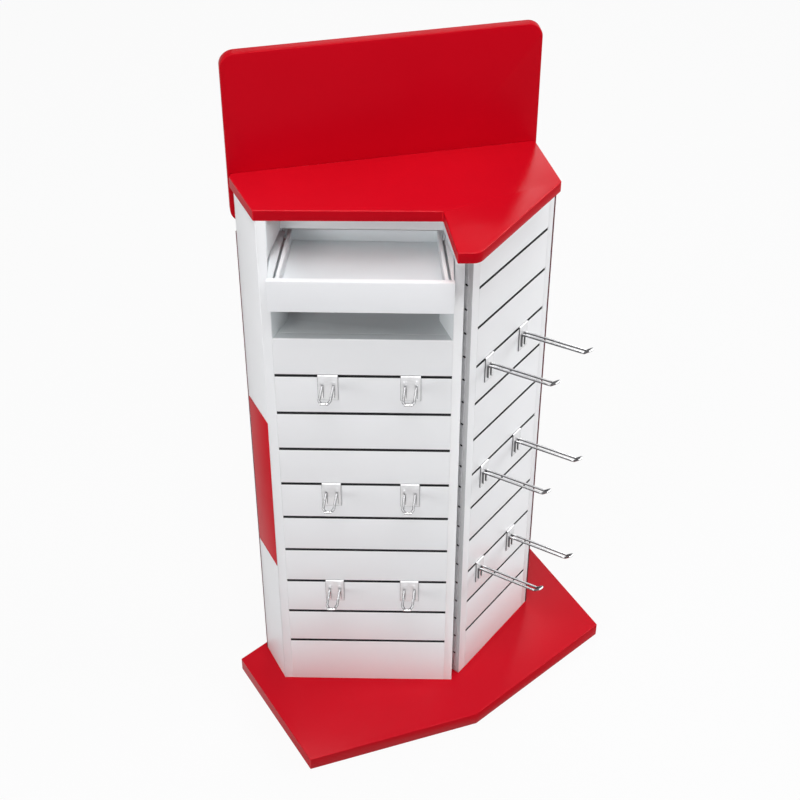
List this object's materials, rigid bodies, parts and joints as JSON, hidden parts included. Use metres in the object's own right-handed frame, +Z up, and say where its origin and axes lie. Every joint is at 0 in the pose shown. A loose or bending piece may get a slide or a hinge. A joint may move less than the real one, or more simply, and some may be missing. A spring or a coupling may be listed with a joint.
{
  "type": "display rack",
  "caption": "Free-standing counter display rack with slat-wall front and turned side unit, hooks, a drawer, an open bay, a worktop and a tall backboard.",
  "frame": {"origin": "centre of the base plate on the floor", "axes": "+Z up, -Y towards the front unit's customer, +X to that customer's right"},
  "size_m": [0.8316, 0.6784, 1.622],
  "materials": {
    "red_lacquer": "glossy red lacquer on fibreboard",
    "red_sheet": "satin red hardboard",
    "red_band": "glossy red laminate",
    "groove_liner": "black plastic extrusion",
    "hook_chrome": "bright zinc plating",
    "screw_steel": "zinc plated steel",
    "strip_steel": "light grey powder coat",
    "slide_steel": "white powder coat",
    "drawer_white": "white melamine board",
    "slat_white": "white lacquered fibreboard",
    "cabinet_white": "white melamine board"
  },
  "bodies": {
    "cabinet": {"base_plate": "red_lacquer", "base_screws": "screw_steel", "bottom_board_front": "cabinet_white", "bottom_board_side": "cabinet_white", "side_panel_left": "cabinet_white", "side_band": "red_band", "outer_stile": "cabinet_white", "divider_panel": "cabinet_white", "slat_panel_front": "slat_white", "groove_liners_front": "groove_liner", "bay_shelf": "cabinet_white", "jamb_left": "cabinet_white", "jamb_right": "cabinet_white", "bay_rail": "cabinet_white", "near_post": "cabinet_white", "perforated_strip": "strip_steel", "slat_panel_side": "slat_white", "groove_liners_side": "groove_liner", "far_stile": "cabinet_white", "side_cap": "cabinet_white", "riser_frame": "cabinet_white", "top_board": "cabinet_white", "rear_sheet_left": "red_sheet", "rear_sheet_middle": "red_sheet", "rear_sheet_right": "red_sheet", "rear_cover": "red_sheet", "back_filler": "cabinet_white", "rear_screws": "screw_steel", "worktop": "red_lacquer", "backboard": "red_lacquer", "backboard_screws": "screw_steel", "slide_fixed_left": "slide_steel", "slide_fixed_right": "slide_steel"},
    "drawer": {"drawer_front": "drawer_white", "drawer_side_left": "drawer_white", "drawer_side_right": "drawer_white", "drawer_back": "drawer_white", "drawer_floor": "drawer_white", "drawer_rail_left": "drawer_white", "drawer_rail_right": "drawer_white", "slide_moving_left": "slide_steel", "slide_moving_right": "slide_steel"},
    "hook_front_1": {"hook_front_1": "hook_chrome"},
    "hook_front_2": {"hook_front_2": "hook_chrome"},
    "hook_front_3": {"hook_front_3": "hook_chrome"},
    "hook_front_4": {"hook_front_4": "hook_chrome"},
    "hook_front_5": {"hook_front_5": "hook_chrome"},
    "hook_front_6": {"hook_front_6": "hook_chrome"},
    "hook_side_1": {"hook_side_1": "hook_chrome"},
    "hook_side_2": {"hook_side_2": "hook_chrome"},
    "hook_side_3": {"hook_side_3": "hook_chrome"},
    "hook_side_4": {"hook_side_4": "hook_chrome"},
    "hook_side_5": {"hook_side_5": "hook_chrome"},
    "hook_side_6": {"hook_side_6": "hook_chrome"}
  },
  "joints": [
    {"name": "drawer_slide", "type": "slide", "parent": "cabinet", "child": "drawer", "axis": [0, -1, 0], "range_m": [-0.063, 0.07]},
    {"name": "hook_front_1_slide", "type": "slide", "parent": "cabinet", "child": "hook_front_1", "axis": [1, 0, 0], "range_m": [-0.082, 0.058]},
    {"name": "hook_front_2_slide", "type": "slide", "parent": "cabinet", "child": "hook_front_2", "axis": [1, 0, 0], "range_m": [-0.062, 0.059]},
    {"name": "hook_front_3_slide", "type": "slide", "parent": "cabinet", "child": "hook_front_3", "axis": [1, 0, 0], "range_m": [-0.082, 0.058]},
    {"name": "hook_front_4_slide", "type": "slide", "parent": "cabinet", "child": "hook_front_4", "axis": [1, 0, 0], "range_m": [-0.062, 0.059]},
    {"name": "hook_front_5_slide", "type": "slide", "parent": "cabinet", "child": "hook_front_5", "axis": [1, 0, 0], "range_m": [-0.082, 0.058]},
    {"name": "hook_front_6_slide", "type": "slide", "parent": "cabinet", "child": "hook_front_6", "axis": [1, 0, 0], "range_m": [-0.062, 0.059]},
    {"name": "hook_side_1_slide", "type": "slide", "parent": "cabinet", "child": "hook_side_1", "axis": [0.592, 0.8059, 0], "range_m": [-0.028, 0.043]},
    {"name": "hook_side_2_slide", "type": "slide", "parent": "cabinet", "child": "hook_side_2", "axis": [0.592, 0.8059, 0], "range_m": [-0.043, 0.055]},
    {"name": "hook_side_3_slide", "type": "slide", "parent": "cabinet", "child": "hook_side_3", "axis": [0.592, 0.8059, 0], "range_m": [-0.028, 0.043]},
    {"name": "hook_side_4_slide", "type": "slide", "parent": "cabinet", "child": "hook_side_4", "axis": [0.592, 0.8059, 0], "range_m": [-0.043, 0.055]},
    {"name": "hook_side_5_slide", "type": "slide", "parent": "cabinet", "child": "hook_side_5", "axis": [0.592, 0.8059, 0], "range_m": [-0.028, 0.043]},
    {"name": "hook_side_6_slide", "type": "slide", "parent": "cabinet", "child": "hook_side_6", "axis": [0.592, 0.8059, 0], "range_m": [-0.043, 0.055]}
  ]
}
